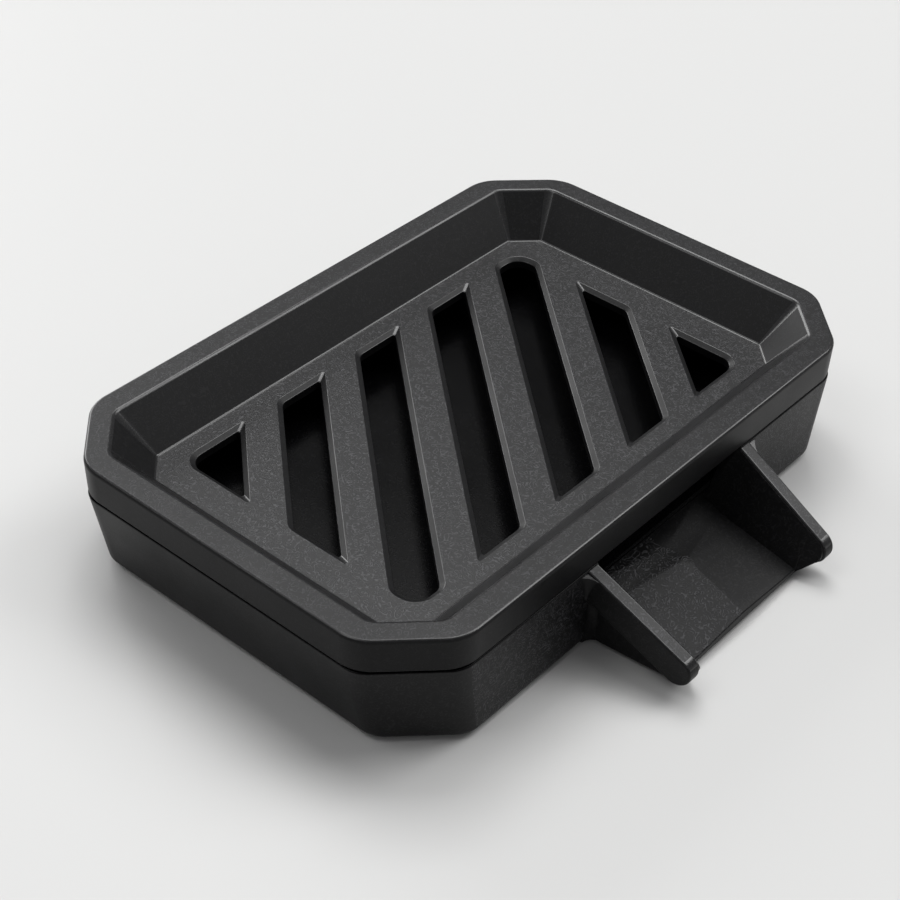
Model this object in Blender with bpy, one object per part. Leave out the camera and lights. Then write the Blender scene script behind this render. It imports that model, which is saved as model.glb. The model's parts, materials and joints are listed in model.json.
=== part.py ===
"""Self-draining soap dish: a slotted drain tray that lifts off a base with a waterfall spout.

Metres, +Z up. The dish stands on the plane z = 0, its long sides run along X and its spout
pours towards -Y. The origin is under the middle of the dish and its spout together, so the
eight-sided body is centred half a spout's reach behind it.
"""
import math
from dataclasses import dataclass, replace

import bmesh
import bpy

# Tray, outside
TRAY_LENGTH = 0.130
TRAY_WIDTH = 0.087
CORNER_LEG = 0.0122
OUTER_CORNER_RADIUS = 0.008
TOTAL_HEIGHT = 0.025
SKIRT_HEIGHT = 0.0068
SKIRT_DRAFT = 0.0002
SKIRT_WALL = 0.0018
TRAY_WALL = 0.0021

# Tray, basin
RIM_WIDTH = 0.005
BASIN_DEPTH = 0.0081
BASIN_SLOPE_RUN = 0.0068
RIM_INNER_LEG = 0.0083
RIM_INNER_RADIUS = 0.0035
FLOOR_LEG = 0.0047
FLOOR_RADIUS = 0.0010
RIM_OUTER_ROUND = 0.0008
RIM_INNER_ROUND = 0.0005
FLOOR_EDGE_ROUND = 0.0003
SKIRT_EDGE_ROUND = 0.0003

# Drain slots
SLOT_ANGLE = math.radians(41.8)
SLOT_COUNT = 7
SLOT_PITCH = 0.0154
SLOT_WIDTH = 0.0094
SLOT_END_MARGIN = 0.0067
SLOT_SIDE_MARGIN = 0.0037
SLOT_CHAMFER = 0.0010
SLOT_CORNER_RADIUS = 0.0042
SLOT_BLUNT_RADIUS = 0.0034
SLOT_SHARP_RADIUS = 0.0004

# Base shell
SEAT_GAP = 0.0003
BASE_STEP = 0.0001
BASE_WALL = 0.0030
TONGUE_RISE = 0.0026
BASE_END_DRAFT = 0.0036
BASE_SIDE_DRAFT = 0.0003
BASE_CORNER_LEG = 0.0112
BASE_CORNER_RADIUS = 0.0055
BASE_BOTTOM_ROUND = 0.0014
BASE_RIM_WALL = 0.0024
RESERVOIR_ROUND = 0.0012
RESERVOIR_FRONT_HEIGHT = 0.0077
RESERVOIR_FALL = 0.0019
RESERVOIR_PLATE = 0.0020
SHOULDER_ROUND = 0.0004

# Spout
SPOUT_OFFSET = 0.0022
SPOUT_REACH = 0.0205
SPOUT_OUTER_WIDTH = 0.0472
RAIL_WALL = 0.0028
RAIL_DEPTH = 0.0058
RAIL_ANGLE = math.radians(26.2)
RAIL_TOE = math.radians(4.6)
RAIL_START_DROP = 0.0003
RAIL_EDGE_ROUND = 0.0004
RAIL_ROOT_RADIUS = 0.0032
RAIL_ROOT_FOOT_RADIUS = 0.0008
CHEEK_SETBACK = 0.0023
CHEEK_TURN = math.radians(110)
CHEEK_ROOT_RADIUS = 0.0022
ROOT_SINK = 0.0002
LIP_SETBACK = 0.0039
SPOUT_CLEARANCE = 0.0003
CHANNEL_FLOOR_WIDTH = 0.0328
CHANNEL_START_RISE = 0.0001
RIDGE_KINK = 0.0042
RIDGE_LIP_HEIGHT = 0.0029
FOLD_ROOT_HEIGHT = 0.0056
FOLD_LIP_HEIGHT = 0.0019
LIP_CHAMFER = 0.0003
SPOUT_PLATE = 0.0016

# Foot pads
FOOT_PROUD = 0.0008
PAD_DIAMETER = 0.009
PAD_THICKNESS = 0.0016
PAD_EDGE_ROUND = 0.0003
BOSS_WALL = 0.0016
FOOT_END_INSET = 0.0190
FOOT_SIDE_INSET = 0.0135

# One overrun serves every cut and every buried root
OVERRUN = 0.0010

# An arc takes up to this share of its corner's shorter side, a slot's square corner more because
# its blunt neighbours take little, and lines this near alike are alike
CORNER_ROOM_SHARE = 0.49
SLOT_ROOM_SHARE = 0.68
SAME_WAY_SHARE = 0.000001

# Facets
CORNER_STEPS = 5
ROUND_STEPS = 3
SLOT_STEPS = 5
ROOT_STEPS = 6
TIP_STEPS = 12
EDGE_STEPS = 2
CHANNEL_STEPS = 4
PAD_SIDES = 40

# Heights worked out from the sizes above
TRAY_TOP = TOTAL_HEIGHT
SKIRT_BOTTOM = TRAY_TOP - SKIRT_HEIGHT
FLOOR_TOP = TRAY_TOP - BASIN_DEPTH
FLOOR_UNDERSIDE = FLOOR_TOP - TRAY_WALL
SHOULDER_HEIGHT = SKIRT_BOTTOM - SEAT_GAP
TONGUE_TOP = SHOULDER_HEIGHT + TONGUE_RISE
BASE_BOTTOM = FOOT_PROUD
SPOUT_BOTTOM = BASE_BOTTOM + SPOUT_CLEARANCE
BODY_Y = SPOUT_REACH / 2


@dataclass(frozen=True)
class Ring:
    """One eight-sided outline: half sizes, corner leg, corner radius, height and fall along Y."""

    half_x: float
    half_y: float
    leg: float
    radius: float
    height: float
    fall: float = 0.0
    soften: float = 0.0

    def inset(self, by):
        """The same outline moved in evenly on all eight sides."""
        return replace(
            self,
            half_x=self.half_x - by,
            half_y=self.half_y - by,
            leg=self.leg - by * (2 - math.sqrt(2)),
            radius=max(self.radius - by, FLOOR_RADIUS),
        )

    def at(self, height, fall=0.0, soften=0.0):
        """The same outline at another height."""
        return replace(self, height=height, fall=fall, soften=soften)

    def blend(self, other, share):
        """The outline that lies a share of the way to another one."""
        def mix(a, b):
            return a + (b - a) * share
        return Ring(
            mix(self.half_x, other.half_x),
            mix(self.half_y, other.half_y),
            mix(self.leg, other.leg),
            mix(self.radius, other.radius),
            mix(self.height, other.height),
            mix(self.fall, other.fall),
        )

    def distance(self, other):
        """How far apart the two outlines are, across a long side's wall or an end's."""
        across = max(abs(self.half_x - other.half_x), abs(self.half_y - other.half_y))
        return math.hypot(across, self.height - other.height)

    def points(self):
        """Points round the outline, counter-clockwise from above."""
        corners = []
        for sign_x, sign_y in ((1, -1), (1, 1), (-1, 1), (-1, -1)):
            on_end = (sign_x * self.half_x, sign_y * (self.half_y - self.leg))
            on_side = (sign_x * (self.half_x - self.leg), sign_y * self.half_y)
            corners += [on_side, on_end] if sign_x * sign_y < 0 else [on_end, on_side]
        outline = round_polygon(corners, [self.radius] * len(corners), CORNER_STEPS, CORNER_ROOM_SHARE)
        return [(x, y, self.height + self.fall * y) for x, y in outline]


def round_polygon(corners, radii, steps, room_share):
    """Replaces each corner of a closed outline with an arc, held to a share of its shorter side."""
    outline = []
    count = len(corners)
    for index, corner in enumerate(corners):
        before = corners[index - 1]
        after = corners[(index + 1) % count]
        to_before = (before[0] - corner[0], before[1] - corner[1])
        to_after = (after[0] - corner[0], after[1] - corner[1])
        room_before = math.hypot(*to_before)
        room_after = math.hypot(*to_after)
        cosine = (to_before[0] * to_after[0] + to_before[1] * to_after[1]) / (room_before * room_after)
        half_angle = math.acos(max(-1.0, min(1.0, cosine))) / 2
        room = min(room_before, room_after) * room_share
        reach = min(radii[index] / math.tan(half_angle), room)
        radius = reach * math.tan(half_angle)
        unit_before = (to_before[0] / room_before, to_before[1] / room_before)
        unit_after = (to_after[0] / room_after, to_after[1] / room_after)
        middle = (unit_before[0] + unit_after[0], unit_before[1] + unit_after[1])
        to_centre = radius / math.sin(half_angle) / math.hypot(*middle)
        centre = (corner[0] + middle[0] * to_centre, corner[1] + middle[1] * to_centre)
        start = (corner[0] + unit_before[0] * reach, corner[1] + unit_before[1] * reach)
        end = (corner[0] + unit_after[0] * reach, corner[1] + unit_after[1] * reach)
        first = math.atan2(start[1] - centre[1], start[0] - centre[0])
        last = math.atan2(end[1] - centre[1], end[0] - centre[0])
        turn = math.remainder(last - first, 2 * math.pi)
        for step in range(steps + 1):
            angle = first + turn * step / steps
            outline.append((centre[0] + radius * math.cos(angle), centre[1] + radius * math.sin(angle)))
    return outline


def soften_rings(rings):
    """Rounds the profile at each ring that asks for it, over the given length on both sides."""
    result = []
    for index, ring in enumerate(rings):
        if not ring.soften:
            result.append(ring)
            continue
        before, after = rings[index - 1], rings[index + 1]
        start = ring.blend(before, ring.soften / ring.distance(before))
        end = ring.blend(after, ring.soften / ring.distance(after))
        for step in range(ROUND_STEPS + 1):
            share = step / ROUND_STEPS
            result.append(start.blend(ring, share).blend(ring.blend(end, share), share))
    return result


def loft(bm, loops):
    """Skins a closed solid through loops of points that all have the same count."""
    rows = [[bm.verts.new(point) for point in loop] for loop in loops]
    for lower, upper in zip(rows, rows[1:]):
        for i in range(len(lower)):
            bm.faces.new((lower[i - 1], lower[i], upper[i], upper[i - 1]))
    bm.faces.new(rows[0])
    bm.faces.new(rows[-1])


def make_object(name, bm, material=None):
    """Turns a bmesh into an object on the dish's own centre line, in flat triangles."""
    bmesh.ops.triangulate(bm, faces=bm.faces)
    bmesh.ops.recalc_face_normals(bm, faces=bm.faces)
    mesh = bpy.data.meshes.new(name)
    bm.to_mesh(mesh)
    bm.free()
    mesh.shade_smooth()
    mesh.set_sharp_from_angle(angle=math.radians(30))
    if material:
        mesh.materials.append(material)
    piece = bpy.data.objects.new(name, mesh)
    piece.location = (0, BODY_Y, 0)
    bpy.context.scene.collection.objects.link(piece)
    return piece


def make_guide(name, bm):
    """An object that only shapes another one."""
    guide = make_object(name, bm)
    guide.hide_render = True
    guide.display_type = "WIRE"
    return guide


def combine(piece, name, guides, operation):
    """Adds the guides' solids to a piece in one step, or cuts them all away."""
    group = bpy.data.collections.new(name)
    bpy.context.scene.collection.children.link(group)
    for guide in guides:
        bpy.context.scene.collection.objects.unlink(guide)
        group.objects.link(guide)
    modifier = piece.modifiers.new(name, "BOOLEAN")
    modifier.operand_type = "COLLECTION"
    modifier.collection = group
    modifier.operation = operation
    modifier.solver = "EXACT"


def plastic(name, colour, roughness):
    """A moulded plastic or rubber of one colour."""
    material = bpy.data.materials.new(name)
    material.use_nodes = True
    shader = material.node_tree.nodes["Principled BSDF"]
    shader.inputs["Base Color"].default_value = (*colour, 1.0)
    shader.inputs["Roughness"].default_value = roughness
    shader.inputs["Metallic"].default_value = 0.0
    material.diffuse_color = (*colour, 1.0)
    return material


def tray_rim():
    """The tray's outline at the top of its rim."""
    return Ring(TRAY_LENGTH / 2, TRAY_WIDTH / 2, CORNER_LEG, OUTER_CORNER_RADIUS, TRAY_TOP)


def basin_floor():
    """The outline of the basin's flat floor."""
    rim = tray_rim()
    inset = RIM_WIDTH + BASIN_SLOPE_RUN
    return Ring(rim.half_x - inset, rim.half_y - inset, FLOOR_LEG, FLOOR_RADIUS, FLOOR_TOP)


def skirt_foot():
    """The skirt's outline at its lower edge."""
    return tray_rim().inset(SKIRT_DRAFT).at(SKIRT_BOTTOM)


def make_tray(material):
    """The drain tray: rim, skirt, sloping basin walls and a slotted floor in one moulding."""
    rim = tray_rim()
    floor = basin_floor()
    inner = replace(rim.inset(RIM_WIDTH), leg=RIM_INNER_LEG, radius=RIM_INNER_RADIUS)
    slope = math.atan2(BASIN_DEPTH, BASIN_SLOPE_RUN)
    wall_shift = TRAY_WALL / math.sin(slope)
    under_rim = TRAY_TOP - TRAY_WALL
    hollow_top = inner.inset(TRAY_WALL / math.tan(slope) - wall_shift).at(under_rim)
    hollow_foot = floor.inset(TRAY_WALL / math.tan(slope) - wall_shift).at(FLOOR_UNDERSIDE)
    skirt_inner = skirt_foot().inset(SKIRT_WALL)
    rings = [
        floor.inset(FLOOR_EDGE_ROUND + OVERRUN),
        floor.at(FLOOR_TOP, soften=FLOOR_EDGE_ROUND),
        inner.at(TRAY_TOP, soften=RIM_INNER_ROUND),
        rim.at(TRAY_TOP, soften=RIM_OUTER_ROUND),
        skirt_foot().at(SKIRT_BOTTOM, soften=SKIRT_EDGE_ROUND),
        skirt_inner.at(SKIRT_BOTTOM),
        skirt_inner.at(under_rim),
        hollow_top,
        hollow_foot,
    ]
    bm = bmesh.new()
    loft(bm, [ring.points() for ring in soften_rings(rings)])
    tray = make_object("drain_tray", bm, material)
    combine(tray, "drain_slots", [make_slot_cutters()], "DIFFERENCE")
    return tray


def slot_lines(number, shrink):
    """The straight sides of one slot as (normal x, normal y, distance), counter-clockwise.

    The field is a rectangle inside the floor, and the slots cross it side by side. The first and
    the last slot have only one slanting side, because the field's corner closes them.
    """
    floor = basin_floor()
    field_x = floor.half_x - SLOT_END_MARGIN - shrink
    field_y = floor.half_y - SLOT_SIDE_MARGIN - shrink
    across = (math.cos(SLOT_ANGLE), -math.sin(SLOT_ANGLE))
    place = (number - (SLOT_COUNT - 1) / 2) * SLOT_PITCH
    half = SLOT_WIDTH / 2 - shrink
    lines = [(0, -1, field_y), (1, 0, field_x), (0, 1, field_y), (-1, 0, field_x)]
    if number < SLOT_COUNT - 1:
        lines.append((across[0], across[1], place + half))
    if number > 0:
        lines.append((-across[0], -across[1], half - place))
    return sorted(lines, key=lambda line: math.atan2(line[1], line[0]))


def cross_point(first, second):
    """Where two lines meet."""
    determinant = first[0] * second[1] - first[1] * second[0]
    x = (first[2] * second[1] - first[1] * second[2]) / determinant
    y = (first[0] * second[2] - first[2] * second[0]) / determinant
    return x, y


def slot_corners(number):
    """The pairs of lines, by index, that meet at each corner of a slot."""
    lines = slot_lines(number, 0.0)
    pairs = []
    for i, first in enumerate(lines):
        for j, second in enumerate(lines):
            if j <= i or abs(first[0] * second[1] - first[1] * second[0]) < SAME_WAY_SHARE:
                continue
            x, y = cross_point(first, second)
            if all(line[0] * x + line[1] * y <= line[2] + SLOT_WIDTH * SAME_WAY_SHARE for line in lines):
                pairs.append((math.atan2(first[1] + second[1], first[0] + second[0]), i, j))
    return [(i, j) for _, i, j in sorted(pairs)]


def slot_outline(number, shrink):
    """One slot's outline: sharp in its acute corners, rounded in the blunt and square ones."""
    lines = slot_lines(number, shrink)
    corners = []
    radii = []
    for i, j in slot_corners(number):
        corners.append(cross_point(lines[i], lines[j]))
        turn = lines[i][0] * lines[j][0] + lines[i][1] * lines[j][1]
        if abs(turn) < SAME_WAY_SHARE:
            radius = SLOT_CORNER_RADIUS
        else:
            radius = SLOT_BLUNT_RADIUS if turn > 0 else SLOT_SHARP_RADIUS
        radii.append(max(radius - shrink, SLOT_SHARP_RADIUS))
    return round_polygon(corners, radii, SLOT_STEPS, SLOT_ROOM_SHARE)


def make_slot_cutters():
    """All the slots as one group of cutters, each with the chamfer round its upper edge."""
    bm = bmesh.new()
    chamfer_foot = FLOOR_TOP - SLOT_CHAMFER
    for number in range(SLOT_COUNT):
        wide = slot_outline(number, -OVERRUN)
        narrow = slot_outline(number, SLOT_CHAMFER)
        loft(bm, [
            [(x, y, FLOOR_TOP + OVERRUN) for x, y in wide],
            [(x, y, chamfer_foot) for x, y in narrow],
            [(x, y, FLOOR_UNDERSIDE - OVERRUN) for x, y in narrow],
        ])
    return make_guide("slot_cutters", bm)


def base_top():
    """The base's outline at the shoulder that the tray's skirt sits over."""
    return skirt_foot().inset(BASE_STEP).at(SHOULDER_HEIGHT)


def base_foot():
    """The base's outline at its lower edge."""
    top = base_top()
    return Ring(
        top.half_x - BASE_END_DRAFT,
        top.half_y - BASE_SIDE_DRAFT,
        BASE_CORNER_LEG,
        BASE_CORNER_RADIUS,
        BASE_BOTTOM,
    )


def base_face_y(height):
    """How far forward the base's front face is at a height, as a negative Y."""
    share = (SHOULDER_HEIGHT - height) / (SHOULDER_HEIGHT - BASE_BOTTOM)
    return -base_top().blend(base_foot(), share).half_y


def make_base(material):
    """The base: drafted walls with a locating tongue, a reservoir floor that falls to the spout."""
    top = replace(base_top(), radius=BASE_CORNER_RADIUS)
    foot = base_foot()
    fall = RESERVOIR_FALL / (2 * (top.half_y - BASE_WALL))
    middle_height = RESERVOIR_FRONT_HEIGHT + RESERVOIR_FALL / 2
    tongue = skirt_foot().inset(SKIRT_WALL + SEAT_GAP)
    inner_top = top.inset(BASE_WALL)
    share = (SHOULDER_HEIGHT - middle_height) / (SHOULDER_HEIGHT - BASE_BOTTOM)
    wall_at_floor = top.blend(foot, share)
    inner_foot = wall_at_floor.inset(BASE_WALL).at(middle_height, fall)
    hollow_foot = foot.inset(BASE_RIM_WALL)
    hollow_top = hollow_foot.at(middle_height - RESERVOIR_PLATE, fall)
    floor_edge = inner_foot.inset(RESERVOIR_ROUND + OVERRUN)
    rings = [
        floor_edge,
        replace(inner_foot, soften=RESERVOIR_ROUND),
        inner_top.at(TONGUE_TOP),
        tongue.at(TONGUE_TOP),
        tongue.at(SHOULDER_HEIGHT),
        top.at(SHOULDER_HEIGHT, soften=SHOULDER_ROUND),
        foot.at(BASE_BOTTOM, soften=BASE_BOTTOM_ROUND),
        hollow_foot.at(BASE_BOTTOM),
        hollow_top,
    ]
    bm = bmesh.new()
    loft(bm, [ring.points() for ring in soften_rings(rings)])
    base = make_object("base_with_spout", bm, material)
    additions = [make_spout_body(), *make_cheeks(), *make_rails(), *make_roots(), make_bosses(hollow_top)]
    combine(base, "base_additions", additions, "UNION")
    cuts = [make_channel_cutter(), make_spout_hollow(), make_pad_recesses()]
    combine(base, "base_cuts", cuts, "DIFFERENCE")
    return base


def rail_top(y):
    """The height of the spout rails' upper edge at a place along Y."""
    start_y = base_face_y(SHOULDER_HEIGHT)
    start = SHOULDER_HEIGHT - RAIL_START_DROP
    return start - max(start_y - y, 0.0) * math.tan(RAIL_ANGLE)


def spout_tip_y():
    """The spout's foremost point."""
    return -TRAY_WIDTH / 2 - SPOUT_REACH


def lip_y():
    """Where the channel's floor ends."""
    return spout_tip_y() + LIP_SETBACK


def toe_in(y):
    """How far the spout's sides have come in towards each other at a place along Y."""
    return (base_face_y(SHOULDER_HEIGHT) - y) * math.tan(RAIL_TOE)


def rail_outline(thinner, last_turn=math.pi):
    """A rail seen from the side, in Y and Z: a sloping bar with a round nose.

    The outline is moved in from the rail's full depth by the given length on all sides, and its
    nose turns from the upper edge through the given angle.
    """
    radius = RAIL_DEPTH / 2
    nose_y = spout_tip_y() + radius
    along = (-math.cos(RAIL_ANGLE), -math.sin(RAIL_ANGLE))
    down = (math.sin(RAIL_ANGLE), -math.cos(RAIL_ANGLE))
    face = (base_face_y(SHOULDER_HEIGHT), rail_top(base_face_y(SHOULDER_HEIGHT)))
    length = (nose_y - face[0] - down[0] * radius) / along[0]
    nose = (face[0] + along[0] * length + down[0] * radius, face[1] + along[1] * length + down[1] * radius)
    back = BASE_WALL / 3
    root = (face[0] - along[0] * back + down[0] * radius, face[1] - along[1] * back + down[1] * radius)
    depth = radius - thinner
    outline = [
        (root[0] + down[0] * depth, root[1] + down[1] * depth),
        (root[0] - down[0] * depth, root[1] - down[1] * depth),
    ]
    for step in range(TIP_STEPS + 1):
        turn = last_turn * step / TIP_STEPS
        outline.append((
            nose[0] - depth * (down[0] * math.cos(turn) - along[0] * math.sin(turn)),
            nose[1] - depth * (down[1] * math.cos(turn) - along[1] * math.sin(turn)),
        ))
    return outline


def side_extrusion(name, outline, first_x, last_x):
    """A guide whose outline lies in Y and Z, between two sides given along Y from the spout's middle."""
    bm = bmesh.new()
    loft(bm, [[(SPOUT_OFFSET + x_at(y), y, z) for y, z in outline] for x_at in (first_x, last_x)])
    return make_guide(name, bm)


def rail_sections():
    """Places across a rail, from the middle outwards, each with how far its outline is moved in."""
    outer = SPOUT_OUTER_WIDTH / 2
    inner = outer - RAIL_WALL
    inner_round = []
    outer_round = []
    for step in range(EDGE_STEPS + 1):
        turn = math.pi / 2 * step / EDGE_STEPS
        inward = RAIL_EDGE_ROUND * (1 - math.sin(turn))
        thinner = RAIL_EDGE_ROUND * (1 - math.cos(turn))
        inner_round.insert(0, (inner + inward, thinner))
        outer_round.append((outer - inward, thinner))
    return [(inner - RAIL_EDGE_ROUND, RAIL_EDGE_ROUND), *inner_round, *outer_round]


def make_rails():
    """The two sloping side rails of the spout, with rounded edges, a little nearer at their noses."""
    rails = []
    for side, sign in (("left", -1), ("right", 1)):
        bm = bmesh.new()
        loft(bm, [
            [(SPOUT_OFFSET + sign * (x - toe_in(y)), y, z) for y, z in rail_outline(thinner)]
            for x, thinner in rail_sections()
        ])
        rails.append(make_guide(f"spout_rail_{side}", bm))
    return rails


def cheek_half():
    """Half the width of the spout below its rails, where it leaves the base."""
    return SPOUT_OUTER_WIDTH / 2 - CHEEK_SETBACK


def make_spout_body():
    """The block under the channel, which the channel's floor is cut from."""
    face = base_face_y(SHOULDER_HEIGHT)
    root_y = face + BASE_WALL / 2
    outline = [
        (root_y, SPOUT_BOTTOM),
        (root_y, RESERVOIR_FRONT_HEIGHT + OVERRUN),
        (face, RESERVOIR_FRONT_HEIGHT + OVERRUN),
        (lip_y(), RIDGE_LIP_HEIGHT + OVERRUN),
        (lip_y(), SPOUT_BOTTOM),
    ]
    half = cheek_half()
    return side_extrusion("spout_body", outline, lambda y: toe_in(y) - half, lambda y: half - toe_in(y))


def make_cheeks():
    """The walls under and inside the rails, which end round behind each nose and slant to the lip."""
    root_y = base_face_y(SHOULDER_HEIGHT) + BASE_WALL / 2
    low = SPOUT_BOTTOM + ROOT_SINK
    behind_nose = rail_outline(RAIL_EDGE_ROUND + ROOT_SINK, CHEEK_TURN)[1:]
    outline = [(root_y, low), *behind_nose, (lip_y(), low)]
    inner = CHANNEL_FLOOR_WIDTH / 2 + ROOT_SINK
    outer = cheek_half() - ROOT_SINK / 2
    cheeks = []
    for side, sign in (("left", -1), ("right", 1)):
        ends = (lambda y: sign * inner, lambda y: sign * (outer - toe_in(y)))
        cheeks.append(side_extrusion(f"spout_cheek_{side}", outline, *ends))
    return cheeks


def root_loop(sign, half, radius, height_at):
    """The outline of a concave fillet between the base's face and the spout's side, at a height.

    Its arc is sunk a little into both faces, so that it crosses them at a clear angle.
    """
    face = base_face_y(SHOULDER_HEIGHT)
    side = SPOUT_OFFSET + sign * half
    centre_x = side + sign * (radius - ROOT_SINK)
    centre_y = face - radius + ROOT_SINK
    buried_x = side - sign * OVERRUN
    buried_y = face + OVERRUN
    outline = [(buried_x, buried_y), (centre_x, buried_y)]
    for step in range(ROOT_STEPS + 1):
        turn = math.pi / 2 * step / ROOT_STEPS
        outline.append((centre_x - sign * radius * math.sin(turn), centre_y + radius * math.cos(turn)))
    outline.append((buried_x, centre_y))
    return [(x - sign * toe_in(y), y, height_at(y)) for x, y in outline]


def rail_low(y):
    """The height of the rails' lower edge at a place along Y."""
    return rail_top(y) - RAIL_DEPTH / math.cos(RAIL_ANGLE)


def make_roots():
    """The fillets where the rails and the spout's body leave the base, the rails' ones tapering down."""
    rail_half = SPOUT_OUTER_WIDTH / 2
    sunk = RAIL_EDGE_ROUND / 2
    roots = []
    for side, sign in (("left", -1), ("right", 1)):
        rail_root = bmesh.new()
        loft(rail_root, [
            root_loop(sign, rail_half, RAIL_ROOT_FOOT_RADIUS, lambda y: rail_low(y) + sunk),
            root_loop(sign, rail_half, RAIL_ROOT_RADIUS, lambda y: rail_top(y) - sunk),
        ])
        roots.append(make_guide(f"rail_root_{side}", rail_root))
        body_root = bmesh.new()
        loft(body_root, [
            root_loop(sign, cheek_half(), CHEEK_ROOT_RADIUS, lambda y: SPOUT_BOTTOM),
            root_loop(sign, cheek_half(), CHEEK_ROOT_RADIUS, lambda y: rail_low(y) + RAIL_DEPTH / 2),
        ])
        roots.append(make_guide(f"body_root_{side}", body_root))
    return roots


def channel_inside_y():
    """Where the channel starts, just inside the reservoir."""
    return base_face_y(SHOULDER_HEIGHT) + BASE_WALL + RESERVOIR_ROUND


def fold_height(y):
    """The height of the channel's folds, along the feet of its walls, at a place along Y."""
    face = base_face_y(SHOULDER_HEIGHT)
    if y > face:
        start = RESERVOIR_FRONT_HEIGHT + CHANNEL_START_RISE
        return FOLD_ROOT_HEIGHT + (start - FOLD_ROOT_HEIGHT) * (y - face) / (channel_inside_y() - face)
    return FOLD_ROOT_HEIGHT - (face - y) * (FOLD_ROOT_HEIGHT - FOLD_LIP_HEIGHT) / (face - lip_y())


def ridge_height(y):
    """The height of the channel's ridge at a place along Y."""
    face = base_face_y(SHOULDER_HEIGHT)
    kink = face - RIDGE_KINK
    if y > face:
        return RESERVOIR_FRONT_HEIGHT + CHANNEL_START_RISE * 2 * (y - face) / (channel_inside_y() - face)
    slope = (RESERVOIR_FRONT_HEIGHT - RIDGE_LIP_HEIGHT) / (kink - lip_y())
    return RESERVOIR_FRONT_HEIGHT - max(kink - y, 0.0) * slope


def channel_places():
    """Places along the channel, each with how far its floor dips there for the lip's edge."""
    kink = base_face_y(SHOULDER_HEIGHT) - RIDGE_KINK
    crest = lip_y() + LIP_CHAMFER
    places = [(channel_inside_y(), 0.0), (base_face_y(SHOULDER_HEIGHT), 0.0), (kink, 0.0)]
    for step in range(1, CHANNEL_STEPS + 1):
        places.append((kink + (crest - kink) * step / CHANNEL_STEPS, 0.0))
    dip = LIP_CHAMFER + ROOT_SINK
    places.append((lip_y() - ROOT_SINK, dip))
    places.append((spout_tip_y() - OVERRUN, dip))
    return places


def make_channel_cutter():
    """The space the water runs through: a low ridge in the middle, walls that lean outwards."""
    floor_half = CHANNEL_FLOOR_WIDTH / 2
    bm = bmesh.new()
    loops = []
    for y, dip in channel_places():
        fold = fold_height(y) - dip
        rail_inner = SPOUT_OUTER_WIDTH / 2 - RAIL_WALL - toe_in(y)
        wall_lean = (rail_inner - floor_half) / (rail_top(y) - RAIL_EDGE_ROUND / 2 - fold)
        over = rail_top(y) + OVERRUN
        over_half = floor_half + wall_lean * (over - fold)
        section = [
            (-floor_half, fold),
            (0.0, ridge_height(y) - dip),
            (floor_half, fold),
            (over_half, over),
            (over_half, TONGUE_TOP + OVERRUN),
            (-over_half, TONGUE_TOP + OVERRUN),
            (-over_half, over),
        ]
        loops.append([(SPOUT_OFFSET + x, y, z) for x, z in section])
    loft(bm, loops)
    return make_guide("channel_cutter", bm)


def make_spout_hollow():
    """The moulding's hollow under the spout, wedge-shaped below the sloping channel."""
    face = base_face_y(SHOULDER_HEIGHT)
    half = cheek_half() - toe_in(lip_y()) - BASE_RIM_WALL
    slope = (FOLD_ROOT_HEIGHT - FOLD_LIP_HEIGHT) / (face - lip_y())
    root = face - OVERRUN
    root_height = FOLD_ROOT_HEIGHT - SPOUT_PLATE
    low = SPOUT_BOTTOM - OVERRUN
    end = root - (root_height - low) / slope
    outline = [(root, low), (root, root_height), (max(end, lip_y() + RAIL_WALL), low)]
    return side_extrusion("spout_hollow", outline, lambda y: -half, lambda y: half)


def foot_places():
    """Names and centres of the four foot pads."""
    x = TRAY_LENGTH / 2 - FOOT_END_INSET
    y = TRAY_WIDTH / 2 - FOOT_SIDE_INSET
    return {
        "front_left": (-x, -y),
        "front_right": (x, -y),
        "back_left": (-x, y),
        "back_right": (x, y),
    }


def circle(centre, radius):
    """Points round a circle in X and Y."""
    return [
        (
            centre[0] + radius * math.cos(2 * math.pi * step / PAD_SIDES),
            centre[1] + radius * math.sin(2 * math.pi * step / PAD_SIDES),
        )
        for step in range(PAD_SIDES)
    ]


def make_bosses(hollow_top):
    """The round bosses under the reservoir floor that carry the foot pads."""
    radius = PAD_DIAMETER / 2 + SEAT_GAP + BOSS_WALL
    high = hollow_top.height - abs(hollow_top.fall) * hollow_top.half_y + RESERVOIR_PLATE / 2
    bm = bmesh.new()
    for place in foot_places().values():
        loft(bm, [[(x, y, z) for x, y in circle(place, radius)] for z in (BASE_BOTTOM, high + OVERRUN)])
    return make_guide("pad_bosses", bm)


def make_pad_recesses():
    """The shallow seats that hold the foot pads."""
    radius = PAD_DIAMETER / 2 + SEAT_GAP
    ceiling = PAD_THICKNESS + SEAT_GAP
    bm = bmesh.new()
    for place in foot_places().values():
        loft(bm, [[(x, y, z) for x, y in circle(place, radius)] for z in (BASE_BOTTOM - OVERRUN, ceiling)])
    return make_guide("pad_recesses", bm)


def make_foot_pad(name, place, material):
    """One round rubber pad with softened edges."""
    radius = PAD_DIAMETER / 2
    profile = [
        (radius - PAD_EDGE_ROUND, 0.0),
        (radius, PAD_EDGE_ROUND),
        (radius, PAD_THICKNESS - PAD_EDGE_ROUND),
        (radius - PAD_EDGE_ROUND, PAD_THICKNESS),
    ]
    bm = bmesh.new()
    loft(bm, [[(x, y, z) for x, y in circle((0, 0), r)] for r, z in profile])
    pad = make_object(name, bm, material)
    pad.location = (place[0], place[1] + BODY_Y, 0)
    return pad


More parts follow.
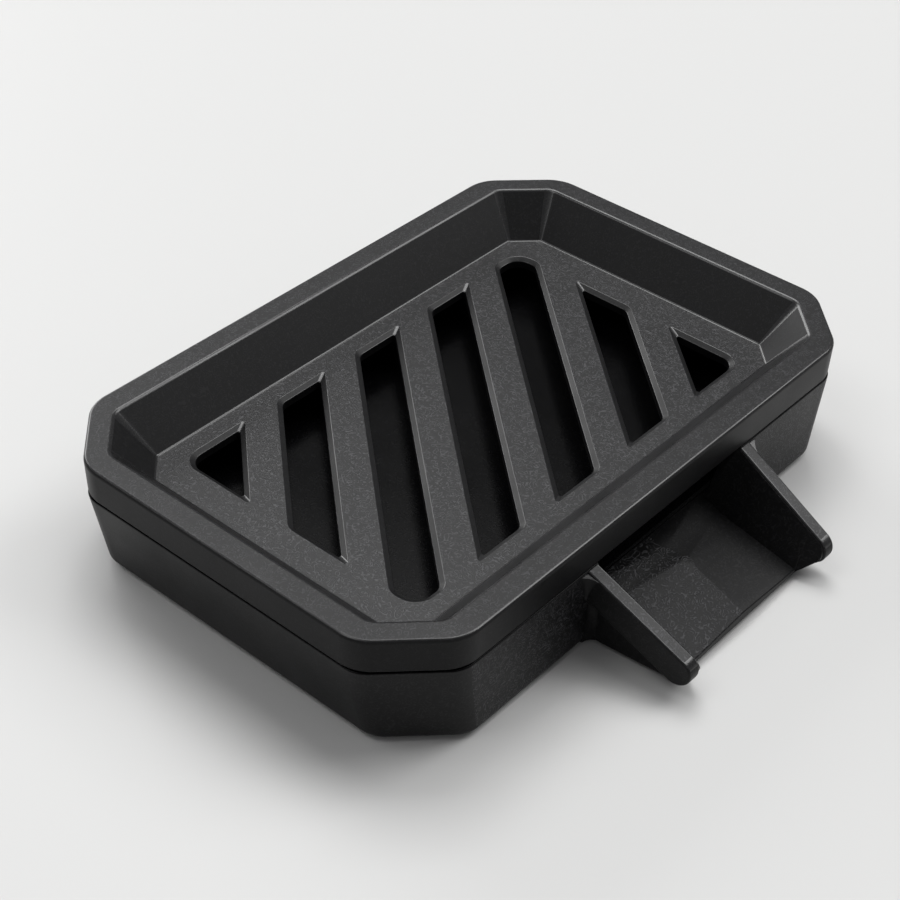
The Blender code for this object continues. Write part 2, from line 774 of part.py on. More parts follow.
def main():
    for old in list(bpy.data.objects):
        bpy.data.objects.remove(old, do_unlink=True)
    make_tray(plastic("tray_plastic", (0.012, 0.012, 0.0125), 0.48))
    make_base(plastic("base_plastic", (0.010, 0.010, 0.0105), 0.48))
    rubber = plastic("pad_rubber", (0.012, 0.012, 0.012), 0.85)
    for corner, place in foot_places().items():
        make_foot_pad(f"foot_pad_{corner}", place, rubber)


main()
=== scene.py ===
"""Dresses the self-draining soap dish: a charcoal ABS tray on a base with a waterfall spout.

Everything is in metres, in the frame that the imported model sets: +Z is up, the long sides run
along X and the spout pours towards -Y.
"""
import json
import logging
import math
from dataclasses import dataclass, replace
from enum import Enum
from typing import Any, Callable, Sequence

import bmesh
import bpy
from mathutils import Matrix, Vector

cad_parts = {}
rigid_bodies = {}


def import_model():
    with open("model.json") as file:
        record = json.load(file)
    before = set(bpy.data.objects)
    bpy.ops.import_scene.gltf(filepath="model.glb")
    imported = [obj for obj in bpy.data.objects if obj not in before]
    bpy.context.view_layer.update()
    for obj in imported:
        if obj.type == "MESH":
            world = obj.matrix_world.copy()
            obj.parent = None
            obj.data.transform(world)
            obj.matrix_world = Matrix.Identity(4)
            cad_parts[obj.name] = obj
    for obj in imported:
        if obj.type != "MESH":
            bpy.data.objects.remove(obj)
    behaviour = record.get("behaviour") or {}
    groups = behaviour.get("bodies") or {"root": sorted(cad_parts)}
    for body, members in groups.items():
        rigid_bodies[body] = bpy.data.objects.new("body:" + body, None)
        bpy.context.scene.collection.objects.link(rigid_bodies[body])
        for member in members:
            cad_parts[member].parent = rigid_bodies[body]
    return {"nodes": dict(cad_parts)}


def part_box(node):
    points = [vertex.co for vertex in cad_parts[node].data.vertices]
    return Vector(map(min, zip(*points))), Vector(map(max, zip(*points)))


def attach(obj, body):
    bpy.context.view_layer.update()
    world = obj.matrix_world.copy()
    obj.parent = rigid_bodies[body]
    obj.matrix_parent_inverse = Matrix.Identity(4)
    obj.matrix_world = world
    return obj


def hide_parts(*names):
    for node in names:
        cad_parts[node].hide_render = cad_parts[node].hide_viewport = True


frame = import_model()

Point = tuple[float, float, float]
Flat = tuple[float, float]

log = logging.getLogger("soap_dish")

MM = 0.001
MICRON = 0.001 * MM
# An arc takes up to this share of its shorter side, and directions this near alike are alike
CORNER_ROOM_SHARE = 0.49
SAME_WAY_SHARE = 0.000001
OVERRUN = 1.0 * MM


class Cut(Enum):
    """What a helper solid does to a piece."""

    ADD = "UNION"
    REMOVE = "DIFFERENCE"


class Side(Enum):
    """The two sides of the spout."""

    LEFT = -1
    RIGHT = 1


class Texture(Enum):
    """How the tool made a face, by the place of its material on the piece, except that the channel's left
    half takes the coarse texture as painted light and the sump takes the polished one, darkened as painted
    shade.
    """

    DRAWN = 0
    FINE = 1
    COARSE = 2
    POLISHED = 3
    EDGE = 4


def linear_colour(code: str) -> tuple[float, float, float, float]:
    """Turns an sRGB hex value into a linear colour.

    Args:
        code: Six hex digits, such as "2a2a2c".

    Returns:
        Red, green, blue and an alpha of 1.
    """
    channels = []
    for start in (0, 2, 4):
        value = int(code[start:start + 2], 16) / 255
        channels.append(value / 12.92 if value <= 0.04045 else ((value + 0.055) / 1.055) ** 2.4)
    return (channels[0], channels[1], channels[2], 1.0)


def add_node(tree: bpy.types.NodeTree, kind: str, inputs: dict[Any, Any], **settings: Any) -> bpy.types.Node:
    """Adds a shader node with its settings, values and links.

    Args:
        tree: The node tree that gets the node.
        kind: The node's type without its common prefix, such as "TexNoise".
        inputs: Each socket's name or number, with a value or the output that feeds it.
        settings: The node's own properties.

    Returns:
        The new node.
    """
    node = tree.nodes.new(f"ShaderNode{kind}")
    for name, value in settings.items():
        setattr(node, name, value)
    for socket, value in inputs.items():
        if isinstance(value, bpy.types.NodeSocket):
            tree.links.new(value, node.inputs[socket])
        else:
            node.inputs[socket].default_value = value
    return node


@dataclass(frozen=True)
class MouldedABS:
    """Charcoal ABS moulded in a spark-eroded tool.

    The tool leaves short worm-like ridges whose crests are coloured paler, partly as scuffing and partly as
    a painted highlight of the light catching them, so the eye sees a dry, even black with a soft sheen,
    broken into fine bright strokes, and no mirror reflections. Faces drawn along the tool are smoother and
    darker.
    """

    name: str
    body: str
    crest: str
    roughness: float
    worm_spacing: float
    worm_height: float
    specular: float
    ior: float = 1.54
    # The worms' bends, the breaks between them and the grit, in worm spacings
    bend: float = 2.4
    gap: float = 2.9
    grit: float = 0.6
    # How many bands are drawn through the bending noise, and the grit's share of the relief
    bands: float = 24.0
    grit_share: float = 0.4
    # Handling leaves patches of this size that are a little duller or brighter
    patch: float = 14.0 * MM
    patch_change: float = 0.04

    def material(self) -> bpy.types.Material:
        """Builds the plastic.

        Returns:
            A material whose colour, roughness and relief follow the grain.
        """
        material = bpy.data.materials.new(self.name)
        material.use_nodes = True
        tree = material.node_tree
        shader = tree.nodes["Principled BSDF"]
        place = add_node(tree, "TexCoord", {}).outputs["Object"]
        # Sine bands drawn through a soft noise close up into worms, and a coarser noise breaks them
        field = add_node(tree, "TexNoise", {
            "Vector": place, "Scale": 1 / (self.worm_spacing * self.bend), "Detail": 0.0,
        })
        bands = add_node(tree, "Math", {0: field.outputs["Fac"], 1: self.bands}, operation="MULTIPLY")
        waves = add_node(tree, "Math", {0: bands.outputs[0]}, operation="SINE")
        crests = add_node(tree, "MapRange", {
            "Value": waves.outputs[0], "From Min": 0.35, "From Max": 0.95, "To Min": 0.0, "To Max": 1.0,
        })
        gaps = add_node(tree, "TexNoise", {
            "Vector": place, "Scale": 1 / (self.worm_spacing * self.gap), "Detail": 1.0,
        })
        present = add_node(tree, "MapRange", {
            "Value": gaps.outputs["Fac"], "From Min": 0.34, "From Max": 0.52, "To Min": 0.0, "To Max": 1.0,
        })
        worms = add_node(tree, "Math", {0: crests.outputs[0], 1: present.outputs[0]}, operation="MULTIPLY")
        fine = add_node(tree, "TexNoise", {
            "Vector": place, "Scale": 1 / (self.worm_spacing * self.grit), "Detail": 2.0, "Roughness": 0.6,
        })
        height = add_node(tree, "Mix", {
            0: self.grit_share, 2: worms.outputs[0], 3: fine.outputs["Fac"],
        }, data_type="FLOAT")
        bump = add_node(tree, "Bump", {
            "Strength": 1.0, "Distance": self.worm_height, "Height": height.outputs[0],
        })
        colour = add_node(tree, "Mix", {
            0: worms.outputs[0], 6: linear_colour(self.body), 7: linear_colour(self.crest),
        }, data_type="RGBA")
        cloud = add_node(tree, "TexNoise", {"Vector": place, "Scale": 1 / self.patch, "Detail": 3.0})
        rough = add_node(tree, "MapRange", {
            "Value": cloud.outputs["Fac"], "From Min": 0.3, "From Max": 0.7,
            "To Min": self.roughness - self.patch_change, "To Max": self.roughness + self.patch_change,
        })
        for socket, output in (
            ("Base Color", colour.outputs[2]), ("Roughness", rough.outputs[0]), ("Normal", bump.outputs[0]),
        ):
            tree.links.new(output, shader.inputs[socket])
        shader.inputs["IOR"].default_value = self.ior
        shader.inputs["Specular IOR Level"].default_value = self.specular
        return material


@dataclass(frozen=True)
class Textures:
    """The five textures that one colour of plastic has, by how the tool made them; the fine and coarse ones
    have paler crests, which are partly painted highlight.
    """

    drawn: bpy.types.Material
    fine: bpy.types.Material
    coarse: bpy.types.Material
    polished: bpy.types.Material
    edge: bpy.types.Material


@dataclass(frozen=True)
class MouldedRubber:
    """Compression-moulded nitrile rubber, dull and slightly dusty, as anti-slip pads are."""

    name: str
    body: str
    dust: str
    roughness: float
    mottle: float
    relief: float = 0.02 * MM
    relief_share: float = 0.6

    def material(self) -> bpy.types.Material:
        """Builds the rubber.

        Returns:
            A dull material with a fine mottle.
        """
        material = bpy.data.materials.new(self.name)
        material.use_nodes = True
        tree = material.node_tree
        shader = tree.nodes["Principled BSDF"]
        place = add_node(tree, "TexCoord", {}).outputs["Object"]
        grain = add_node(tree, "TexNoise", {"Vector": place, "Scale": 1 / self.mottle, "Detail": 4.0})
        colour = add_node(tree, "Mix", {
            0: grain.outputs["Fac"], 6: linear_colour(self.body), 7: linear_colour(self.dust),
        }, data_type="RGBA")
        bump = add_node(tree, "Bump", {
            "Strength": self.relief_share, "Distance": self.relief, "Height": grain.outputs["Fac"],
        })
        tree.links.new(colour.outputs[2], shader.inputs["Base Color"])
        tree.links.new(bump.outputs[0], shader.inputs["Normal"])
        shader.inputs["Roughness"].default_value = self.roughness
        return material


@dataclass(frozen=True)
class MattCounter:
    """A honed pale stone-coloured board, flat in colour so that only the dish's shadow marks it."""

    name: str
    body: str
    roughness: float

    def material(self) -> bpy.types.Material:
        """Builds the counter's surface.

        Returns:
            A pale, dull and even material.
        """
        material = bpy.data.materials.new(self.name)
        material.use_nodes = True
        tree = material.node_tree
        shader = tree.nodes["Principled BSDF"]
        shader.inputs["Base Color"].default_value = linear_colour(self.body)
        shader.inputs["Roughness"].default_value = self.roughness
        return material


@dataclass(frozen=True)
class Outline:
    """One level of the eight-sided shape.

    It holds the half sizes, the corners' leg and radius, the height, the fall along Y and how far
    the profile is rounded at this level.
    """

    half_x: float
    half_y: float
    leg: float
    radius: float
    height: float
    fall: float = 0.0
    soften: float = 0.0

    def inset(self, by: float) -> "Outline":
        """The same outline moved in evenly on all eight sides.

        Args:
            by: How far it moves in.

        Returns:
            The smaller outline.
        """
        return replace(
            self,
            half_x=self.half_x - by,
            half_y=self.half_y - by,
            leg=self.leg - by * (2 - math.sqrt(2)),
            radius=max(self.radius - by, OVERRUN),
        )

    def at(self, height: float, fall: float = 0.0, soften: float = 0.0) -> "Outline":
        """The same outline at another height."""
        return replace(self, height=height, fall=fall, soften=soften)

    def blend(self, other: "Outline", share: float) -> "Outline":
        """Finds the outline that lies a share of the way to another one.

        Args:
            other: The outline at the far end.
            share: How far along, from 0 to 1.

        Returns:
            The outline between the two.
        """
        mixed = {}
        for name in ("half_x", "half_y", "leg", "radius", "height", "fall"):
            here, there = getattr(self, name), getattr(other, name)
            mixed[name] = here + (there - here) * share
        return Outline(**mixed)

    def distance(self, other: "Outline") -> float:
        """How far apart two outlines are, across the wider of their walls."""
        across = max(abs(self.half_x - other.half_x), abs(self.half_y - other.half_y))
        return math.hypot(across, self.height - other.height)

    def points(self, steps: int) -> list[Point]:
        """Sets points round the outline.

        Args:
            steps: How many straight pieces make one corner's arc.

        Returns:
            The points, counter-clockwise from above.
        """
        corners: list[Flat] = []
        for sign_x, sign_y in ((1, -1), (1, 1), (-1, 1), (-1, -1)):
            on_end = (sign_x * self.half_x, sign_y * (self.half_y - self.leg))
            on_side = (sign_x * (self.half_x - self.leg), sign_y * self.half_y)
            corners += [on_side, on_end] if sign_x * sign_y < 0 else [on_end, on_side]
        flat = round_polygon(corners, [self.radius] * len(corners), steps, CORNER_ROOM_SHARE)
        return [(x, y, self.height + self.fall * y) for x, y in flat]


def round_polygon(
    corners: Sequence[Flat], radii: Sequence[float], steps: int, room_share: float,
) -> list[Flat]:
    """Replaces each corner of a closed outline with an arc.

    Args:
        corners: The sharp corners in order.
        radii: The radius at each corner, cut back where its sides are short.
        steps: How many straight pieces make one arc.
        room_share: The share of a corner's shorter side that its arc may take.

    Returns:
        The rounded outline.
    """
    outline: list[Flat] = []
    for index, corner in enumerate(corners):
        here = Vector(corner)
        to_before = Vector(corners[index - 1]) - here
        to_after = Vector(corners[(index + 1) % len(corners)]) - here
        half_angle = to_before.angle(to_after) / 2
        room = min(to_before.length, to_after.length) * room_share
        reach = min(radii[index] / math.tan(half_angle), room)
        radius = reach * math.tan(half_angle)
        middle = (to_before.normalized() + to_after.normalized()).normalized()
        centre = here + middle * (radius / math.sin(half_angle))
        start = here + to_before.normalized() * reach - centre
        end = here + to_after.normalized() * reach - centre
        first = math.atan2(start.y, start.x)
        turn = math.remainder(math.atan2(end.y, end.x) - first, 2 * math.pi)
        for step in range(steps + 1):
            angle = first + turn * step / steps
            outline.append((centre.x + radius * math.cos(angle), centre.y + radius * math.sin(angle)))
    return outline


def soften(outlines: Sequence[Outline], steps: int) -> list[Outline]:
    """Rounds the profile at each outline that asks for it.

    Args:
        outlines: The profile's levels in order.
        steps: How many straight pieces make one rounding.

    Returns:
        The levels with the rounded ones spread into several.
    """
    result: list[Outline] = []
    for index, level in enumerate(outlines):
        if not level.soften:
            result.append(level)
            continue
        before, after = outlines[index - 1], outlines[index + 1]
        start = level.blend(before, level.soften / level.distance(before))
        end = level.blend(after, level.soften / level.distance(after))
        for step in range(steps + 1):
            share = step / steps
            result.append(start.blend(level, share).blend(level.blend(end, share), share))
    return result


def skin(loops: Sequence[Sequence[Point]]) -> bmesh.types.BMesh:
    """Skins a closed solid through loops of points.

    Args:
        loops: The loops in order, all with the same count. The first and last are closed with a face.

    Returns:
        The solid, in triangles.
    """
    bm = bmesh.new()
    rows = [[bm.verts.new(point) for point in loop] for loop in loops]
    for lower, upper in zip(rows, rows[1:]):
        for i in range(len(lower)):
            bm.faces.new((lower[i - 1], lower[i], upper[i], upper[i - 1]))
    bm.faces.new(rows[0])
    bm.faces.new(rows[-1])
    bmesh.ops.triangulate(bm, faces=bm.faces)
    bmesh.ops.recalc_face_normals(bm, faces=bm.faces)
    return bm


def extrude_side(
    outline: Sequence[Flat], first_x: Callable[[float], float], last_x: Callable[[float], float],
) -> bmesh.types.BMesh:
    """A solid whose outline lies in Y and Z, between two sides.

    Args:
        outline: The outline's points, each as Y and Z.
        first_x: The X of one side at a place along Y.
        last_x: The same of the other side.

    Returns:
        The solid.
    """
    return skin([[(x_at(y), y, z) for y, z in outline] for x_at in (first_x, last_x)])


def make_object(name: str, solid: bmesh.types.BMesh, origin: Vector) -> bpy.types.Object:
    """Turns a solid into an object.

    Args:
        name: The object's name.
        solid: The solid, which is used up.
        origin: Where the solid's own origin goes in the frame.

    Returns:
        The object.
    """
    mesh = bpy.data.meshes.new(name)
    solid.transform(Matrix.Translation(origin))
    solid.to_mesh(mesh)
    solid.free()
    piece = bpy.data.objects.new(name, mesh)
    bpy.context.scene.collection.objects.link(piece)
    return piece


def carve(piece: bpy.types.Object, solids: Sequence[bmesh.types.BMesh], how: Cut, origin: Vector) -> None:
    """Adds solids to a piece in one step, or cuts them all away.

    Args:
        piece: The object that changes.
        solids: The solids, which are used up.
        how: Whether they are added or cut away.
        origin: Where the solids' own origin goes in the frame.
    """
    group = bpy.data.collections.new("helpers")
    for solid in solids:
        helper = make_object("helper", solid, origin)
        bpy.context.scene.collection.objects.unlink(helper)
        group.objects.link(helper)
    bpy.context.scene.collection.children.link(group)
    modifier = piece.modifiers.new("carve", "BOOLEAN")
    modifier.operand_type = "COLLECTION"
    modifier.collection = group
    modifier.operation = how.value
    modifier.solver = "EXACT"
    evaluated = piece.evaluated_get(bpy.context.evaluated_depsgraph_get())
    carved = bpy.data.meshes.new_from_object(evaluated)
    piece.modifiers.clear()
    piece.data = carved
    for helper in list(group.objects):
        bpy.data.objects.remove(helper, do_unlink=True)
    bpy.data.collections.remove(group)


def dress(
    piece: bpy.types.Object, textures: Textures, choose: Callable[[Vector, Vector], Texture], sharp: float,
) -> None:
    """Gives a piece its textures, and shading that keeps its flats flat and its rounds round.

    Args:
        piece: The object.
        textures: The plastic's textures.
        choose: Names the texture of a face from its middle and its normal.
        sharp: The angle in radians above which an edge stays sharp.
    """
    mesh = piece.data
    mesh.materials.clear()
    for texture in Texture:
        mesh.materials.append(getattr(textures, texture.name.lower()))
    for face in mesh.polygons:
        face.material_index = choose(face.center, face.normal).value
    mesh.shade_smooth()
    mesh.set_sharp_from_angle(angle=sharp)
    weigh = piece.modifiers.new("flat_faces", "WEIGHTED_NORMAL")
    weigh.keep_sharp = True
    weigh.weight = 100


@dataclass(frozen=True)
class Shell:
    """The sizes that the tray and the base share, and where the dish's body stands."""

    top: float
    origin: Vector
    length: float = 130.0 * MM
    width: float = 87.0 * MM
    skirt_height: float = 6.8 * MM
    skirt_draft: float = 0.2 * MM
    skirt_wall: float = 1.8 * MM
    corner_leg: float = 12.2 * MM
    corner_radius: float = 8.0 * MM
    seat_gap: float = 0.3 * MM
    corner_steps: int = 12
    round_steps: int = 6

    def rim(self) -> Outline:
        """The outline at the top of the rim."""
        return Outline(self.length / 2, self.width / 2, self.corner_leg, self.corner_radius, self.top)

    def skirt_foot(self) -> Outline:
        """The skirt's outline at its lower edge."""
        return self.rim().inset(self.skirt_draft).at(self.top - self.skirt_height)

    def loft(self, levels: Sequence[Outline]) -> bmesh.types.BMesh:
        """Skins a solid through levels, with the rounded ones spread."""
        return skin([level.points(self.corner_steps) for level in soften(levels, self.round_steps)])


@dataclass(frozen=True)
class DrainSlots:
    """The slanting slots in the basin's floor, each with a chamfer round its upper edge."""

    half_x: float
    half_y: float
    floor: float
    underside: float
    count: int = 7
    slant: float = math.radians(41.8)
    pitch: float = 15.4 * MM
    width: float = 9.4 * MM
    chamfer: float = 1.0 * MM
    chamfer_slope: float = math.radians(32)
    edge_round: float = 0.25 * MM
    square_radius: float = 4.2 * MM
    blunt_radius: float = 3.4 * MM
    acute_radius: float = 0.4 * MM
    room_share: float = 0.68
    corner_steps: int = 12
    edge_steps: int = 4
    # The cutters start this share of the edge's round above the floor
    lead_share: float = 0.15

    def lines(self, number: int, shrink: float) -> list[Point]:
        """Lists the straight sides that bound one slot.

        Args:
            number: The slot, from 0.
            shrink: How far the sides move in.

        Returns:
            Each side as normal x, normal y and distance, counter-clockwise.
        """
        across = (math.cos(self.slant), -math.sin(self.slant))
        place = (number - (self.count - 1) / 2) * self.pitch
        half = self.width / 2 - shrink
        field_x, field_y = self.half_x - shrink, self.half_y - shrink
        lines = [(0.0, -1.0, field_y), (1.0, 0.0, field_x), (0.0, 1.0, field_y), (-1.0, 0.0, field_x)]
        if number < self.count - 1:
            lines.append((across[0], across[1], place + half))
        if number > 0:
            lines.append((-across[0], -across[1], half - place))
        return sorted(lines, key=lambda line: math.atan2(line[1], line[0]))

    def corners(self, number: int) -> list[tuple[int, int]]:
        """Finds which sides meet at each corner of a slot.

        Args:
            number: The slot, from 0.

        Returns:
            The sides' numbers in pairs, counter-clockwise.
        """
        lines = self.lines(number, 0.0)
        pairs = []
        for i, first in enumerate(lines):
            for j in range(i + 1, len(lines)):
                second = lines[j]
                if abs(first[0] * second[1] - first[1] * second[0]) < SAME_WAY_SHARE:
                    continue
                x, y = meeting_point(first, second)
                room = self.width * SAME_WAY_SHARE
                if all(line[0] * x + line[1] * y <= line[2] + room for line in lines):
                    pairs.append((math.atan2(first[1] + second[1], first[0] + second[0]), i, j))
        return [(i, j) for _, i, j in sorted(pairs)]

    def outline(self, number: int, shrink: float) -> list[Flat]:
        """One slot's outline, moved in by an amount.

        Args:
            number: The slot, from 0.
            shrink: How far the outline moves in from the upper edge.

        Returns:
            The outline, sharp in its acute corners and round in the others.
        """
        lines = self.lines(number, shrink)
        points, radii = [], []
        for i, j in self.corners(number):
            points.append(meeting_point(lines[i], lines[j]))
            turn = lines[i][0] * lines[j][0] + lines[i][1] * lines[j][1]
            radius = self.square_radius if abs(turn) < SAME_WAY_SHARE else self.blunt_radius
            if turn < -SAME_WAY_SHARE:
                radius = self.acute_radius
            radii.append(max(radius - shrink, self.acute_radius))
        return round_polygon(points, radii, self.corner_steps, self.room_share)

    def edge_profile(self) -> list[Flat]:
        """Sets out the slot's edge in section: a round, the chamfer and a round into the slot.

        Returns:
            How far in and how high each point lies, from above the floor to below it.
        """
        round_in = self.edge_round * math.tan(self.chamfer_slope / 2)
        round_out = self.edge_round * math.tan((math.pi / 2 - self.chamfer_slope) / 2)
        depth = self.chamfer * math.tan(self.chamfer_slope)
        profile = [(-2 * round_in, round_in * self.lead_share)]
        for step in range(1, self.edge_steps + 1):
            angle = self.chamfer_slope * step / self.edge_steps
            profile.append((
                self.edge_round * math.sin(angle) - round_in,
                -self.edge_round * (1 - math.cos(angle)),
            ))
        for step in range(self.edge_steps + 1):
            angle = self.chamfer_slope + (math.pi / 2 - self.chamfer_slope) * step / self.edge_steps
            profile.append((
                self.chamfer + self.edge_round * (math.sin(angle) - 1),
                -depth - round_out + self.edge_round * math.cos(angle),
            ))
        profile.append((self.chamfer, self.underside - self.floor - OVERRUN))
        return profile

    def cutters(self) -> list[bmesh.types.BMesh]:
        """Makes the solids that cut the slots.

        Returns:
            One cutter for each slot.
        """
        cutters = []
        for number in range(self.count):
            loops = []
            for inward, rise in self.edge_profile():
                loops.append([(x, y, self.floor + rise) for x, y in self.outline(number, inward)])
            wide = self.outline(number, -2 * OVERRUN)
            loops.insert(0, [(x, y, self.floor + OVERRUN) for x, y in wide])
            cutters.append(skin(loops))
        return cutters


def meeting_point(first: Point, second: Point) -> Flat:
    """Finds where two lines meet, each given as normal x, normal y and distance.

    Args:
        first: One line.
        second: The other line.

    Returns:
        The X and Y of the point.
    """
    determinant = first[0] * second[1] - first[1] * second[0]
    x = (first[2] * second[1] - first[1] * second[2]) / determinant
    y = (first[0] * second[2] - first[2] * second[0]) / determinant
    return x, y


@dataclass(frozen=True)
class DrainTray:
    """The slotted tray: rim, skirt, sloping basin walls and floor."""

    shell: Shell
    wall: float = 2.1 * MM
    rim_width: float = 5.0 * MM
    basin_depth: float = 8.1 * MM
    slope_run: float = 6.8 * MM
    inner_leg: float = 8.3 * MM
    inner_radius: float = 3.5 * MM
    floor_leg: float = 4.7 * MM
    floor_radius: float = 1.0 * MM
    outer_round: float = 0.8 * MM
    inner_round: float = 0.5 * MM
    floor_round: float = 0.3 * MM
    skirt_round: float = 0.3 * MM
    end_margin: float = 6.7 * MM
    side_margin: float = 3.7 * MM
    # A face's texture goes by how far it looks up, which is the Z of its normal
    flat_share: float = 0.98
    edge_share: float = 0.66
    upright_share: float = 0.3
    flat_slack: float = 0.01
    sharp: float = math.radians(32)

    def levels(self) -> list[Outline]:
        """Sets out the tray's profile.

        Returns:
            The levels, from the basin's floor over the rim and round to the underside.
        """
        rim = self.shell.rim()
        inset = self.rim_width + self.slope_run
        floor_top = self.shell.top - self.basin_depth
        floor = Outline(rim.half_x - inset, rim.half_y - inset, self.floor_leg, self.floor_radius, floor_top)
        inner = replace(rim.inset(self.rim_width), leg=self.inner_leg, radius=self.inner_radius)
        slope = math.atan2(self.basin_depth, self.slope_run)
        shift = self.wall / math.tan(slope) - self.wall / math.sin(slope)
        under_rim = self.shell.top - self.wall
        foot = self.shell.skirt_foot()
        skirt_inner = foot.inset(self.shell.skirt_wall)
        return [
            floor.inset(self.floor_round + OVERRUN),
            floor.at(floor_top, soften=self.floor_round),
            inner.at(self.shell.top, soften=self.inner_round),
            rim.at(self.shell.top, soften=self.outer_round),
            foot.at(foot.height, soften=self.skirt_round),
            skirt_inner.at(foot.height),
            skirt_inner.at(under_rim),
            inner.inset(shift).at(under_rim),
            floor.inset(shift).at(floor_top - self.wall),
        ]

    def texture(self, middle: Vector, normal: Vector) -> Texture:
        """Puts grain on the floor and the rim, and leaves edges, walls and the skirt smoother.

        Args:
            middle: The face's middle.
            normal: The face's normal.

        Returns:
            The face's texture.
        """
        if normal.z > self.flat_share:
            return Texture.COARSE if middle.z < self.shell.top - self.basin_depth / 2 else Texture.FINE
        if normal.z < self.upright_share:
            return Texture.POLISHED
        on_chamfer = abs(normal.z - math.cos(DrainSlots.chamfer_slope)) < self.flat_slack
        if on_chamfer or normal.z < self.edge_share:
            return Texture.DRAWN
        return Texture.EDGE

    def build(self, textures: Textures) -> bpy.types.Object:
        """Builds and dresses the tray.

        Args:
            textures: The tray's plastic.

        Returns:
            The tray, riding on its body.
        """
        levels = self.levels()
        tray = make_object("slotted_drain_tray", self.shell.loft(levels), self.shell.origin)
        floor = levels[1]
        slots = DrainSlots(
            floor.half_x - self.end_margin,
            floor.half_y - self.side_margin,
            floor.height,
            floor.height - self.wall,
        )
        carve(tray, slots.cutters(), Cut.REMOVE, self.shell.origin)
        dress(tray, textures, self.texture, self.sharp)
        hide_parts("drain_tray")
        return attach(tray, "tray")


